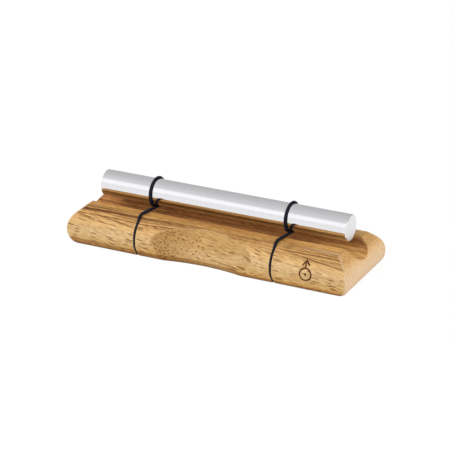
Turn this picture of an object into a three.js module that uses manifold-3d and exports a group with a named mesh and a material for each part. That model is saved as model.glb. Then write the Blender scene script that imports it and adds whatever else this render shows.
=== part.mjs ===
// An energy chime: a polished solid aluminium rod, hung in two wraps of black cord over a
// grooved hardwood base. Each cord runs once round the base, down thin saw kerfs in its faces.
// Millimetres, +Z up. +X runs along the rod. The origin is at the middle of the underside.

import * as THREE from "three";
import { mergeVertices } from "three/addons/utils/BufferGeometryUtils.js";
import Module from "manifold-3d";

// Rod
const ROD_DIAMETER = 13;
const ROD_LENGTH = 130;
const ROD_CHAMFER = 0.4;
const ROD_SHIFT = 1; // how far the rod has slid along in its cords
const ROD_ABOVE_LANDS = 0.5; // from the lands of the base up to the underside of the rod
const STILL_POINT_SHARE = 0.2242; // a free bar doesn't move here, as a share of its length from each end

// Base: a block whose four sides have one rounded profile, with a groove along the top
const BASE_LENGTH = 148;
const BASE_WIDTH = 46;
const BASE_HEIGHT = 18.2;
const BULGE_HEIGHT = 7.4; // where the sides are widest
const BULGE_RADIUS = 10;
const LARGEST_BULGE_SHARE = 0.9; // of the bulge that would take up the whole flank
const LAND_WIDTH = 7; // the flat on each side of the groove
const LAND_EDGE = 1.6; // reach of the soft outer edge of a land
const GROOVE_CLEARANCE = 2.7; // the groove's radius is this much larger than the rod's
const GROOVE_RISE = 2.3; // height of the groove's axis above the lands
const GROOVE_LIP = 0.7; // reach of the soft edge between groove and land
const FRONT_UNDER_RADIUS = 2.2; // sanded lower edges, each as round as it is on the object
const REAR_UNDER_RADIUS = 3.2;
const LEFT_UNDER_RADIUS = 6;
const RIGHT_UNDER_RADIUS = 3.5;

// Finger scoops in the long sides, as a large leaning sanding drum leaves them
const SCOOP_RADIUS = 80;
const SCOOP_DEPTH = 2.4; // at the underside
const SCOOP_LEAN = THREE.MathUtils.degToRad(12.5);
const SCOOP_SHIFT = 0.6; // along the base

// Cords
const CORD_DIAMETER = 1.5;
const CORD_SHIFT = -0.6; // how far the kerfs lie off the middle of the base
const SQUEEZED_WIDTH = 0.95; // the cord is pressed into an oval in its kerf
const SQUEEZED_DEPTH = 2;
const SEAT_GAP = 0.3; // between a cord and what it touches
const KERF_RECESS = 0.1; // how far the cord lies below the face
const KERF_FULL_HEIGHT = 11; // the kerf has its full depth up to here, and runs out at the land's edge
const KERF_ENTRY = 1.4; // reach of the bend at that height
const KERF_CORNER = 2.5; // reach of the cord's bends under the base
const WRAP_GAP = 0.6; // between the two strands that cross under the rod

// Facets
const ARC_STEPS = 6;
const CORNER_STEPS = 3;
const GROOVE_STEPS = 18;
const ROD_SIDES = 48;
const SCOOP_SIDES = 96;
const CORD_SIDES = 8;
const WRAP_STEPS = 27;
const KERF_RUN_STEPS = 40;
const LAND_STRETCH_STEPS = 18;
const SPAN_STEPS = 2;
const CUTTER_MARGIN = 20; // how far a cutting body reaches past the wood

// Heights and reaches that follow from the driving dimensions. "Out" is the distance from the
// middle plane of the base, the same on the front and the rear.
const rodRadius = ROD_DIAMETER / 2;
const rodAxisHeight = BASE_HEIGHT + ROD_ABOVE_LANDS + rodRadius;
const cordOffset = ROD_LENGTH * (0.5 - STILL_POINT_SHARE);
const grooveRadius = rodRadius + GROOVE_CLEARANCE;
const grooveAxisHeight = BASE_HEIGHT + GROOVE_RISE;
const grooveHalfWidth = Math.sqrt(grooveRadius ** 2 - GROOVE_RISE ** 2);
const grooveLipAngle = Math.acos(GROOVE_RISE / grooveRadius) - GROOVE_LIP / grooveRadius;
const landEdgeOut = grooveHalfWidth + LAND_WIDTH;
const landEdgeInset = BASE_WIDTH / 2 - landEdgeOut;

// The straight upper flank is tangent to the bulge and ends at the land's edge.
const flankRise = BASE_HEIGHT - BULGE_HEIGHT;
const largestBulge = (landEdgeInset ** 2 + flankRise ** 2) / (2 * landEdgeInset);
const bulgeRadius = Math.min(BULGE_RADIUS, LARGEST_BULGE_SHARE * largestBulge);
const bulgeToEdge = Math.hypot(bulgeRadius - landEdgeInset, flankRise);
const flankLean =
  Math.atan2(flankRise, bulgeRadius - landEdgeInset) - Math.acos(bulgeRadius / bulgeToEdge);

// Where the cord's middle line runs: over the lands, in the kerfs and round the rod
const cordSeat = CORD_DIAMETER / 2 + SEAT_GAP;
const landCordHeight = BASE_HEIGHT + cordSeat;
const kerfDepth = KERF_RECESS + SQUEEZED_DEPTH + SEAT_GAP;
const kerfWidth = CORD_DIAMETER + SEAT_GAP;
const kerfCordInset = KERF_RECESS + SQUEEZED_DEPTH / 2;
const kerfCordOut = BASE_WIDTH / 2 - kerfCordInset;
const coreOut = BASE_WIDTH / 2 - kerfDepth;
const slopeLean = Math.atan2(coreOut - landEdgeOut, BASE_HEIGHT - KERF_FULL_HEIGHT);
const wrapRadius = rodRadius + cordSeat;
const lipOut = grooveHalfWidth + GROOVE_LIP;
const lipToRod = Math.hypot(lipOut, rodAxisHeight - landCordHeight);
const leaveAngle =
  Math.atan2(lipOut, rodAxisHeight - landCordHeight) - Math.acos(wrapRadius / lipToRod);
const wrapTurn = 2 * Math.PI + 2 * leaveAngle;
const wrapShift = ((CORD_DIAMETER + WRAP_GAP) * wrapTurn) / (4 * Math.PI);

const wasm = await Module();
wasm.setup();

const hardwood = () => new THREE.MeshStandardMaterial({ color: 0xc08f4e, roughness: 0.55, metalness: 0 });
const aluminium = () => new THREE.MeshStandardMaterial({ color: 0xd9dade, roughness: 0.2, metalness: 1 });
const blackCord = () => new THREE.MeshStandardMaterial({ color: 0x14161c, roughness: 0.8, metalness: 0 });

// A closed geometry as a solid that can be joined and cut, and back again
function toSolid(geometry) {
  const plain = geometry.clone();
  plain.deleteAttribute("normal");
  plain.deleteAttribute("uv");
  const merged = mergeVertices(plain);
  const vertProperties = new Float32Array(merged.getAttribute("position").array);
  const triVerts = new Uint32Array(merged.getIndex().array);
  return new wasm.Manifold(new wasm.Mesh({ numProp: 3, vertProperties, triVerts }));
}

function toGeometry(solid) {
  const { vertProperties, triVerts } = solid.getMesh();
  const geometry = new THREE.BufferGeometry();
  geometry.setAttribute("position", new THREE.BufferAttribute(vertProperties, 3));
  geometry.setIndex(new THREE.BufferAttribute(triVerts, 1));
  return geometry;
}

function namedMesh(name, geometry, material) {
  const mesh = new THREE.Mesh(geometry, material);
  mesh.name = name;
  return mesh;
}

// Points of an arc, both ends included
function arc(x, y, radius, from, to, steps) {
  return Array.from({ length: steps + 1 }, (_, step) => {
    const angle = from + ((to - from) * step) / steps;
    return new THREE.Vector2(x + radius * Math.cos(angle), y + radius * Math.sin(angle));
  });
}

// A corner softened by a curve that starts and ends a given reach away from it
function softCorner(before, corner, after, reach, steps) {
  const start = corner.clone().add(before.clone().sub(corner).setLength(reach));
  const end = corner.clone().add(after.clone().sub(corner).setLength(reach));
  return new THREE.QuadraticBezierCurve(start, corner, end).getPoints(steps);
}

// The rounded profile of one side, from the underside up: x is the reach out from the middle
// plane and y the height. It ends at the tangent point of the flank.
function sideProfile(halfSize, underRadius) {
  const under = Math.min(underRadius, BULGE_HEIGHT);
  return [
    ...arc(halfSize - under, under, under, -Math.PI / 2, 0, ARC_STEPS),
    ...arc(halfSize - bulgeRadius, BULGE_HEIGHT, bulgeRadius, 0, flankLean, ARC_STEPS),
  ];
}

// The cross-section of one half of the base, from the underside out and up to the groove's lip
function halfSection(underRadius) {
  const profile = sideProfile(BASE_WIDTH / 2, underRadius);
  const edge = new THREE.Vector2(landEdgeOut, BASE_HEIGHT);
  const lip = new THREE.Vector2(grooveHalfWidth, BASE_HEIGHT);
  const grooveStart = new THREE.Vector2(
    grooveRadius * Math.sin(grooveLipAngle),
    grooveAxisHeight - grooveRadius * Math.cos(grooveLipAngle),
  );
  return [
    ...profile,
    ...softCorner(profile.at(-1), edge, lip, LAND_EDGE, CORNER_STEPS),
    ...softCorner(edge, lip, grooveStart, GROOVE_LIP, CORNER_STEPS),
  ];
}

// Stand an extruded shape upright, so that it was extruded along X or along Y
const alongX = new THREE.Matrix4().makeBasis(
  new THREE.Vector3(0, 1, 0),
  new THREE.Vector3(0, 0, 1),
  new THREE.Vector3(1, 0, 0),
);
const alongY = new THREE.Matrix4().makeBasis(
  new THREE.Vector3(1, 0, 0),
  new THREE.Vector3(0, 0, 1),
  new THREE.Vector3(0, -1, 0),
);

const mirrored = (points) => points.map(({ x, y }) => new THREE.Vector2(-x, y)).reverse();

// The base's section along its whole length. The shape's x is the base's Y.
function longBody() {
  const down = -Math.PI / 2;
  const grooveFrom = down + grooveLipAngle;
  const grooveTo = down - grooveLipAngle;
  const groove = arc(0, grooveAxisHeight, grooveRadius, grooveFrom, grooveTo, GROOVE_STEPS);
  const rear = halfSection(REAR_UNDER_RADIUS);
  const front = mirrored(halfSection(FRONT_UNDER_RADIUS));
  const section = new THREE.Shape([...rear, ...groove.slice(1, -1), ...front]);
  const body = new THREE.ExtrudeGeometry(section, { depth: BASE_LENGTH, steps: 1, bevelEnabled: false });
  return toSolid(body.applyMatrix4(alongX).translate(-BASE_LENGTH / 2, 0, 0));
}

// The end profiles across the whole width, with the flanks carried on above the lands.
// Cutting the long body to it leaves mitred creases at the corners.
function endsBody() {
  const carriedOn = (profile) => {
    const top = BASE_HEIGHT + CUTTER_MARGIN;
    const tangentPoint = profile.at(-1);
    const out = tangentPoint.x - (top - tangentPoint.y) * Math.tan(flankLean);
    return [...profile, new THREE.Vector2(out, top)];
  };
  const right = carriedOn(sideProfile(BASE_LENGTH / 2, RIGHT_UNDER_RADIUS));
  const left = mirrored(carriedOn(sideProfile(BASE_LENGTH / 2, LEFT_UNDER_RADIUS)));
  const depth = BASE_WIDTH + 2 * CUTTER_MARGIN;
  const ends = new THREE.Shape([...right, ...left]);
  const body = new THREE.ExtrudeGeometry(ends, { depth, bevelEnabled: false });
  return toSolid(body.applyMatrix4(alongY).translate(0, depth / 2, 0));
}

// A drum that leans over the base and reaches SCOOP_DEPTH into its side. side is -1 or 1.
function scoopDrum(side) {
  const height = 2 * (BASE_HEIGHT + CUTTER_MARGIN);
  const drum = new THREE.CylinderGeometry(SCOOP_RADIUS, SCOOP_RADIUS, height, SCOOP_SIDES);
  drum.rotateX(Math.PI / 2 + side * SCOOP_LEAN);
  const deepest = BASE_WIDTH / 2 - SCOOP_DEPTH;
  const out = deepest + SCOOP_RADIUS * Math.cos(SCOOP_LEAN);
  drum.translate(SCOOP_SHIFT, side * out, SCOOP_RADIUS * Math.sin(SCOOP_LEAN));
  return toSolid(drum);
}

// A slot right round the base, down to a core that the squeezed cord lies against. Above
// KERF_FULL_HEIGHT the core slopes to the land's edge, where the slot runs out.
function kerfCutter(x) {
  const far = BASE_WIDTH / 2 + CUTTER_MARGIN;
  const high = BASE_HEIGHT + CUTTER_MARGIN;
  const coreCorner = Math.max(KERF_CORNER - SQUEEZED_DEPTH / 2 - SEAT_GAP, SEAT_GAP);
  const foot = new THREE.Vector2(coreOut, kerfDepth);
  const bend = new THREE.Vector2(coreOut, KERF_FULL_HEIGHT);
  const edge = new THREE.Vector2(landEdgeOut, BASE_HEIGHT);
  const right = [
    ...softCorner(new THREE.Vector2(0, kerfDepth), foot, bend, coreCorner, CORNER_STEPS),
    ...softCorner(foot, bend, edge, KERF_ENTRY, CORNER_STEPS),
    edge,
    new THREE.Vector2(landEdgeOut, high),
  ];
  const core = [...right, ...mirrored(right)];
  const slot = new THREE.Shape([
    new THREE.Vector2(-far, -CUTTER_MARGIN),
    new THREE.Vector2(far, -CUTTER_MARGIN),
    new THREE.Vector2(far, high + CUTTER_MARGIN),
    new THREE.Vector2(-far, high + CUTTER_MARGIN),
  ]);
  slot.holes.push(new THREE.Path(core));
  const body = new THREE.ExtrudeGeometry(slot, { depth: kerfWidth, bevelEnabled: false });
  return toSolid(body.applyMatrix4(alongX).translate(x - kerfWidth / 2, 0, 0));
}

function woodenBase() {
  let base = longBody().intersect(endsBody());
  for (const side of [-1, 1]) {
    base = base.subtract(scoopDrum(side)).subtract(kerfCutter(CORD_SHIFT + side * cordOffset));
  }
  return namedMesh("wooden_base", toGeometry(base), hardwood());
}

function chimeRod() {
  const half = ROD_LENGTH / 2;
  const profile = [
    new THREE.Vector2(0, -half),
    new THREE.Vector2(rodRadius - ROD_CHAMFER, -half),
    new THREE.Vector2(rodRadius, -half + ROD_CHAMFER),
    new THREE.Vector2(rodRadius, half - ROD_CHAMFER),
    new THREE.Vector2(rodRadius - ROD_CHAMFER, half),
    new THREE.Vector2(0, half),
  ];
  const rod = namedMesh("chime_rod", new THREE.LatheGeometry(profile, ROD_SIDES), aluminium());
  rod.rotation.z = -Math.PI / 2;
  rod.position.set(ROD_SHIFT, 0, rodAxisHeight);
  return rod;
}

// A tube with an oval section. On a path that starts upright, the depth lies along Y and the
// width across it, along X.
function cordTube(path, depth, width, steps) {
  const points = Array.from({ length: CORD_SIDES }, (_, side) => {
    const angle = ((side + 0.5) * 2 * Math.PI) / CORD_SIDES;
    return new THREE.Vector2((depth / 2) * Math.cos(angle), (width / 2) * Math.sin(angle));
  });
  const section = new THREE.Shape(points);
  return new THREE.ExtrudeGeometry(section, { steps, extrudePath: path, bevelEnabled: false });
}

// Straight lines through the points, with a soft bend of the given reach at each inner point
function bentPath(points, reaches) {
  const path = new THREE.CurvePath();
  let start = points[0];
  for (let index = 1; index < points.length - 1; index += 1) {
    const corner = points[index];
    const reach = reaches[index - 1];
    const bendStart = corner.clone().add(start.clone().sub(corner).setLength(reach));
    const bendEnd = corner.clone().add(points[index + 1].clone().sub(corner).setLength(reach));
    path.add(new THREE.LineCurve3(start, bendStart));
    path.add(new THREE.QuadraticBezierCurve3(bendStart, corner, bendEnd));
    start = bendEnd;
  }
  path.add(new THREE.LineCurve3(start, points.at(-1)));
  return path;
}

// One full turn round the rod. It comes in under the rod from the rear, rises in front, and
// leaves under the rod to the front, beside the strand that comes in.
class WrapCurve extends THREE.Curve {
  getPoint(t, target = new THREE.Vector3()) {
    const angle = leaveAngle - t * wrapTurn;
    return target.set(
      wrapShift * (2 * t - 1),
      wrapRadius * Math.sin(angle),
      rodAxisHeight - wrapRadius * Math.cos(angle),
    );
  }
}

// The least room between the strands of a wrap, over points more than half a turn apart
function wrapSelfGap() {
  const points = new WrapCurve().getSpacedPoints(WRAP_STEPS * CORD_SIDES);
  let least = Infinity;
  points.forEach((point, index) => {
    const others = points.slice(index + points.length / 2);
    others.forEach((other) => {
      least = Math.min(least, point.distanceTo(other));
    });
  });
  return least - CORD_DIAMETER;
}

// The corners of the cord's run over a land and down the kerf's slope, as reach out and height
const slopeOut = Math.cos(slopeLean);
const slopeUp = Math.sin(slopeLean);
const edgeCornerOut = landEdgeOut + cordSeat * (slopeOut - ((1 - slopeUp) * slopeUp) / slopeOut);
const entryFall = (kerfCordOut - landEdgeOut - cordSeat * slopeOut) / slopeUp;
const entryHeight = BASE_HEIGHT + cordSeat * slopeUp - entryFall * slopeOut;
const splitHeight = entryHeight - KERF_ENTRY - SEAT_GAP;
const edgeReach = LAND_EDGE + cordSeat * Math.tan((Math.PI / 2 - slopeLean) / 2);
const leaveOut = wrapRadius * Math.sin(leaveAngle);
const lipShift = (wrapShift * (edgeCornerOut - lipOut)) / (edgeCornerOut - leaveOut);

// side is -1 at the front and 1 at the rear. The strand leans along X to its place at the rod.
function lipPoint(side) {
  return new THREE.Vector3(-side * lipShift, side * lipOut, landCordHeight);
}

function landStretch(side) {
  const edgeCorner = new THREE.Vector3(0, side * edgeCornerOut, landCordHeight);
  const entryCorner = new THREE.Vector3(0, side * kerfCordOut, entryHeight);
  const kerfEnd = new THREE.Vector3(0, side * kerfCordOut, splitHeight);
  const lip = lipPoint(side);
  const start = lip.clone().add(edgeCorner.clone().sub(lip).setLength(SEAT_GAP / 2));
  const path = bentPath([start, edgeCorner, entryCorner, kerfEnd], [edgeReach, KERF_ENTRY]);
  return cordTube(path, CORD_DIAMETER, CORD_DIAMETER, LAND_STRETCH_STEPS);
}

function freeSpan(side) {
  const atRod = new WrapCurve().getPoint(side < 0 ? 1 : 0);
  const lip = lipPoint(side);
  const along = lip.clone().sub(atRod).normalize();
  const start = atRod.clone().addScaledVector(along, SEAT_GAP);
  const end = lip.clone().addScaledVector(along, -SEAT_GAP / 2);
  return cordTube(new THREE.LineCurve3(start, end), CORD_DIAMETER, CORD_DIAMETER, SPAN_STEPS);
}

function kerfRun() {
  const top = splitHeight - SEAT_GAP;
  const path = bentPath(
    [
      new THREE.Vector3(0, -kerfCordOut, top),
      new THREE.Vector3(0, -kerfCordOut, kerfCordInset),
      new THREE.Vector3(0, kerfCordOut, kerfCordInset),
      new THREE.Vector3(0, kerfCordOut, top),
    ],
    [KERF_CORNER, KERF_CORNER],
  );
  return cordTube(path, SQUEEZED_DEPTH, SQUEEZED_WIDTH, KERF_RUN_STEPS);
}

// One cord, from its kerfs over both lands to its wrap round the rod
function cord(sideName, x) {
  const strands = new THREE.Group();
  strands.position.x = x;
  const wrap = cordTube(new WrapCurve(), CORD_DIAMETER, CORD_DIAMETER, WRAP_STEPS);
  strands.add(
    namedMesh(`${sideName}_cord_wrap`, wrap, blackCord()),
    namedMesh(`${sideName}_cord_front_span`, freeSpan(-1), blackCord()),
    namedMesh(`${sideName}_cord_rear_span`, freeSpan(1), blackCord()),
    namedMesh(`${sideName}_cord_front_stretch`, landStretch(-1), blackCord()),
    namedMesh(`${sideName}_cord_rear_stretch`, landStretch(1), blackCord()),
    namedMesh(`${sideName}_cord_kerf_run`, kerfRun(), blackCord()),
  );
  return strands;
}

const chime = new THREE.Group();
chime.add(
  woodenBase(),
  chimeRod(),
  cord("left", CORD_SHIFT - cordOffset),
  cord("right", CORD_SHIFT + cordOffset),
);
console.log(`least gap of a cord wrap to itself: ${wrapSelfGap().toFixed(2)} mm`);

export default chime;
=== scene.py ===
# The looks of an energy chime: a polished aluminium rod, hung in two wraps of black cord over a
# grooved hardwood base. Sizes are in millimetres, and put_mesh turns them into metres.
# +X runs along the rod, the front faces -Y and Z is up.

import math
from types import SimpleNamespace

import bpy
import numpy as np
from mathutils import Euler, Matrix, Vector


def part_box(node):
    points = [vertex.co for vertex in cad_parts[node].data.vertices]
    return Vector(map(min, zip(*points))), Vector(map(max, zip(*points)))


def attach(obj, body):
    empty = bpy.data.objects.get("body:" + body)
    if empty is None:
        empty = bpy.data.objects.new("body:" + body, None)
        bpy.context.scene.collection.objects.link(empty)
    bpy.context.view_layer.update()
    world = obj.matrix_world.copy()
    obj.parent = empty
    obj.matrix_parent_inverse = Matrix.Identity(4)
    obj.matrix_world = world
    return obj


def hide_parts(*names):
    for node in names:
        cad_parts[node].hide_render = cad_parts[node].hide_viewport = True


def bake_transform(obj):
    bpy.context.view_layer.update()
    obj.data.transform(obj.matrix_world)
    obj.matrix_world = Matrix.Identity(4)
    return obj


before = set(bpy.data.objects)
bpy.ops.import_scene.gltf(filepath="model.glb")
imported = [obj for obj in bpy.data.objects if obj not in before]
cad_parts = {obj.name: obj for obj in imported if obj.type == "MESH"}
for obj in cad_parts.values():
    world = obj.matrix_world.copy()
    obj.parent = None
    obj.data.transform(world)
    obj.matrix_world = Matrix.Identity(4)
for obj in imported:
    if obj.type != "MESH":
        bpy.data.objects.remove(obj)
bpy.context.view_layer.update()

MM = 0.001


def node_box(node):
    """The lowest and highest corners of a CAD node, in millimetres."""
    low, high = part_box(node)
    return np.array(low) / MM, np.array(high) / MM


# Sizes that the frame gives
SIDES = ("left", "right")
half_length, half_width, base_height = node_box("wooden_base")[1]
rod_low, rod_high = node_box("chime_rod")
rod_radius = (rod_high[1] - rod_low[1]) / 2
rod_axis_height = (rod_high[2] + rod_low[2]) / 2
kerf_boxes = [node_box(f"{side}_cord_kerf_run") for side in SIDES]
cord_places = np.array([(low[0] + high[0]) / 2 for low, high in kerf_boxes])

# Base
BULGE_HEIGHT = 7.4  # where the sides are widest
BULGE_RADIUS = 10.0
LAND_WIDTH = 7.0  # the flat on each side of the groove
LAND_EDGE = 1.6  # reach of the soft outer edge of a land
GROOVE_RADIUS = 9.2
GROOVE_RISE = 2.3  # height of the groove's axis above the lands
GROOVE_LIP = 0.7  # reach of the soft edge between groove and land
FRONT_UNDER_LEFT = 2.0  # radius of the front's sanded lower edge, a little tighter to the right
FRONT_UNDER_RIGHT = 1.9
REAR_UNDER_RADIUS = 5.0
LEFT_UNDER_RADIUS = 7.2
RIGHT_UNDER_FRONT = 3.5  # the right end's lower edge is sanded rounder towards the rear
RIGHT_UNDER_REAR = 6.0
END_SKEW = 0.3  # the right end is out of square: this far out at the rear, and in at the front
END_SKEW_START = 58.0
END_EDGE = 0.5  # reach of the soft edges between the ends and the top
UPRIGHT_EDGE = 0.5  # radius of the edges between the ends and the sides
UPRIGHT_FOOT = 2.0  # the same at the foot of the right end, where the corners are sanded rounder
UPRIGHT_FOOT_HEIGHT = 6.0

# Finger scoop in each long side, cut by a leaning drum
SCOOP_RADIUS = 88.0
SCOOP_DEPTH = 2.4  # at the underside
SCOOP_LEAN = math.radians(12.5)
SCOOP_SHIFT = -0.8
SCOOP_LEFT_SOFTNESS = 0.5  # its left boundary is sanded soft, its right one is a crease
SCOOP_RIGHT_SOFTNESS = 0.35
SCOOP_SOFT_END, SCOOP_CRISP_START = -22.0, -12.0  # where along X the one turns into the other
SCOOP_TONE_REACH = 0.2  # depth at which the scoop has its own tone
SCOOP_REACH = 30.0  # the grid is fine this far to both sides of the middle

# Painted highlights: pale lines along crisp edges, where light catches them
HIGHLIGHT_WIDTH = 0.5  # their width
HIGHLIGHT_FOOT_SHARE = 0.7  # how pale the ends' edges are at the foot, and at the top
HIGHLIGHT_TOP_SHARE = 0.35
HIGHLIGHT_LAND_SHARE = 0.3  # how pale the front land's edge is near the right end
HIGHLIGHT_LAND_START, HIGHLIGHT_LAND_FULL = 44.0, 60.0
HIGHLIGHT_CREASE_SHARE = 0.28  # how pale the scoop's crease is
HIGHLIGHT_CREASE = 0.09  # its width, as the step between the crease's two surfaces
HIGHLIGHT_CREASE_LOW, HIGHLIGHT_CREASE_HIGH = 5.0, 10.0  # heights between which it sets in

# Kerfs, in which the cords run round the base
KERF_SPREAD = 0.1  # each kerf lies this much further from the middle than its CAD cord
KERF_WIDTH = 1.35
KERF_DEPTH = 2.2
KERF_FULL_HEIGHT = 11.0  # the kerf has its full depth up to here, and runs out at the land's edge
KERF_CLEAR = 1.2  # how many half widths from its middle the other stations of the grid keep off
FOOT_DRIFT = 1.6  # how far a kerf wanders to the right at the front's foot
FOOT_DRIFT_HEIGHT = 5.5
FOOT_DRIFT_REACH = 6.0  # how far along X the wood's grid follows it

# Engraved sign on the front: a ring with a dot, and an arrow on top
SIGN_MIDDLE = np.array([53.3, 8.0])
SIGN_RING_RADIUS = 2.85
SIGN_DOT_RADIUS = 0.6
SIGN_TIP = np.array([53.05, 14.1])
SIGN_BARBS = (np.array([51.7, 12.2]), np.array([54.85, 12.45]))
SIGN_LINE = 0.72
SIGN_FADE = 0.12  # share of the line's width over which it fades, inside and outside its edge
SIGN_DEPTH = 0.28
SIGN_LEFT, SIGN_RIGHT = 49.5, 57.0  # the front's grid is fine between these places along X
SIGN_LOW, SIGN_HIGH = 4.2, 14.9  # and between these heights

# Rod
ROD_CHAMFER = 0.4

# Cords
CORD_RADIUS = 0.8  # where it lies slack
TAUT_RADIUS = 0.61  # round the rod, where it is pulled tight
CORD_CORE = 0.8  # the gaps between the strands are filled to this share of the radius
CORD_LAY = 3.6  # length in which a strand goes once round the cord
CORD_STEP = 0.25
SQUEEZED_WIDTH = 1.25  # in the kerf
SQUEEZED_DEPTH = 2.0
SQUEEZE_FROM, SQUEEZE_FULL = 0.2, 1.2  # how deep in the kerf it starts to flatten, and is flat
KERF_RECESS = 0.1  # how far it lies below the face
KERF_ENTRY = 1.4  # reach of the bend into the kerf
KERF_CORNER = 1.6  # reach of the bends under the base
PRESS = 0.04  # how far the cord gives way to what it touches
WRAP_ASIDE = 0.82  # the wraps have slipped this far along the rod
WRAP_GAP = 0.06  # between the two strands that pass each other under the rod
WRAP_CLIMB_START = 0.45  # share of the wrap, up its front, after which it shifts along the rod

# Points and steps of the grids
END_POINTS = 40
STRETCH_POINTS = (24, 92, 14, 54, 8)  # left, by the scoop, up to the sign, by it, right
FLAT_STEPS = 12
ROUND_STEPS = 8
REAR_STEPS = (40,)
FRONT_STEPS = (8, 78, 6)  # below the sign, beside it and above it
EDGE_POINTS = 7
LAND_POINTS = 5
LIP_POINTS = 6
GROOVE_POINTS = 16
ROD_SIDES = 160
BEND_POINTS = 16
WRAP_POINTS = 200
CORD_SIDES = 30
SHARP_ANGLE = math.radians(38)  # an edge that turns by more than this is drawn sharp


def between(start, end, share):
    """From start at a share of 0 to end at 1."""
    return start + (end - start) * share


def smooth_max(a, b, reach):
    """The larger of two fields, with the crease between them rounded over the given reach."""
    overlap = np.maximum(reach - np.abs(a - b), 0)
    return np.maximum(a, b) + overlap**2 / (4 * reach)


def smooth_min(a, b, reach):
    """The smaller of two fields, with the crease between them rounded over the given reach."""
    return -smooth_max(-a, -b, reach)


def smooth_step(low, high, value):
    """From 0 at low to 1 at high, level at both ends: 3 t^2 - 2 t^3."""
    share = np.clip((value - low) / (high - low), 0, 1)
    return share**2 * (3 - 2 * share)


def bell(distance, width):
    """1 at no distance, falling off over the given width: exp(-(d / w)^2)."""
    return np.exp(-((distance / width) ** 2))


def bend(start, corner, end, count):
    """A corner rounded by the quadratic curve that it pulls on: (1-t)^2 a + 2 t (1-t) b + t^2 c."""
    t = np.linspace(0, 1, count)[:, None]
    return (1 - t) ** 2 * start + 2 * t * (1 - t) * corner + t**2 * end


def put_mesh(name, rings, material):
    """A closed surface through rings of points: quads between neighbours, a flat cap at each end.

    Each ring turns as the fingers of a right hand do when its thumb points along the rings.
    """
    count, around = rings.shape[:2]
    index = np.arange(count * around).reshape(count, around)
    following = np.roll(index, -1, axis=1)
    quads = np.stack([index[:-1], following[:-1], following[1:], index[1:]], axis=-1).reshape(-1, 4)
    caps = [index[0][::-1].tolist(), index[-1].tolist()]
    mesh = bpy.data.meshes.new(name)
    mesh.from_pydata((rings.reshape(-1, 3) * MM).tolist(), [], quads.tolist() + caps)
    mesh.shade_smooth()
    mesh.set_sharp_from_angle(angle=SHARP_ANGLE)
    mesh.materials.append(material)
    piece = bpy.data.objects.new(name, mesh)
    bpy.context.scene.collection.objects.link(piece)
    return piece


# Materials


def linear(hex_colour):
    """An sRGB hex colour as linear RGBA."""
    channels = np.array([int(hex_colour[i : i + 2], 16) for i in (0, 2, 4)]) / 255
    bright = ((channels + 0.055) / 1.055) ** 2.4
    return (*np.where(channels <= 0.04045, channels / 12.92, bright).tolist(), 1.0)


def tone_stops(tones, span=1.0):
    """Colour stops of sRGB hex tones, at places along a span."""
    return [(place / span, linear(tone)) for place, tone in tones]


def grey_stops(greys, span=1.0, green=1.0):
    """Colour stops of linear greys, at places along a span, with their green scaled."""
    return [(place / span, (grey, green * grey, grey, 1)) for place, grey in greys]


def add(tree, kind, inputs=None, stops=None, **settings):
    """Adds a shader node: its settings, its inputs set or linked, any colour stops. Gives its outputs."""
    made = tree.nodes.new("ShaderNode" + kind)
    for name, value in settings.items():
        setattr(made, name, value)
    for key, value in (inputs or {}).items():
        if isinstance(value, bpy.types.NodeSocket):
            tree.links.new(value, made.inputs[key])
        else:
            made.inputs[key].default_value = value
    if stops:
        ramp = made.color_ramp.elements
        while len(ramp) < len(stops):
            ramp.new(0.5)
        for element, (position, colour) in zip(ramp, stops):
            element.position = position
            element.color = colour
    return made.outputs


def new_material(name):
    """A node material with its tree and its shader."""
    material = bpy.data.materials.new(name)
    material.use_nodes = True
    return material, material.node_tree, material.node_tree.nodes["Principled BSDF"]


MIX_A, MIX_B, MIX_OUT = 6, 7, 2  # a Mix node's colour sockets

# Wood of the base
GRAIN_TURN = math.radians(6)  # the grain runs out of the front to the right, a little downhill
GRAIN_PITCH = math.radians(-5)
GRAIN_WAY = Euler((0, GRAIN_PITCH, GRAIN_TURN)).to_matrix().transposed() @ Vector((1, 0, 0))
GRAIN_SWIRLS = ((-14, 10, 7), (24, 4, 1.2))  # wild grain by the scoop: X, reach, sideways rise
SWAY_SIZE = np.array([45, 16, 16])  # fibres and layers wander over these lengths
SWAY_PLACE = (0.9, 3.4, 4.6)  # which part of an endless pattern this board shows
FIBRE_SWAY = 2.5  # how far the fibres wander at most, and the layers
LAYER_SWAY = 7.0
LAYER_SLOPE = 1.2  # the layers rise this much for each millimetre towards the front
LAYER_SPAN = 76.0  # layers from the front's foot to beyond the rear edge
HEART_SHADE_FADE, HEART_SHADE_END = 38, 58  # where along X the brown of groove and land runs out: heartwood and painted shade of the rod
STREAK_SIZE = np.array([70, 1.4, 1])  # of the dark lines, along the base and across the layers
STREAK_PLACE = (2.4, 9.3, 0)
SCOOP_GOLD_LOW, SCOOP_GOLD_HIGH = 13, 19  # layers in which the scoop is golden all the same
SCOOP_GOLD_SHARE = 0.8
FIBRE_SIZE = np.array([4, 0.6, 0.6])
STIPPLE_WIDTH = 0.5
SHADING = 0.8  # how strongly fibres and stipple shade the wood
FOOT_BAND = 2.7  # thickness of the darker brown band along the underside, partly painted shade at the foot
FOOT_BAND_SLOPE = 0.0145  # how much it thins for each millimetre to the right
VESSEL_SPACING = 1.05
VESSEL_NARROW, VESSEL_WIDE = 0.02, 0.29  # their radii, as shares of the spacing
VESSEL_OPENING = 0.09  # what the radii gain where the wood is cut across
VESSEL_RUN = np.array([3.5, 1.2, 1.2])  # they are clogged or open over this length, in bundles
VESSEL_RELIEF = 0.5  # their depth, beside the relief of the fibres
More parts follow.
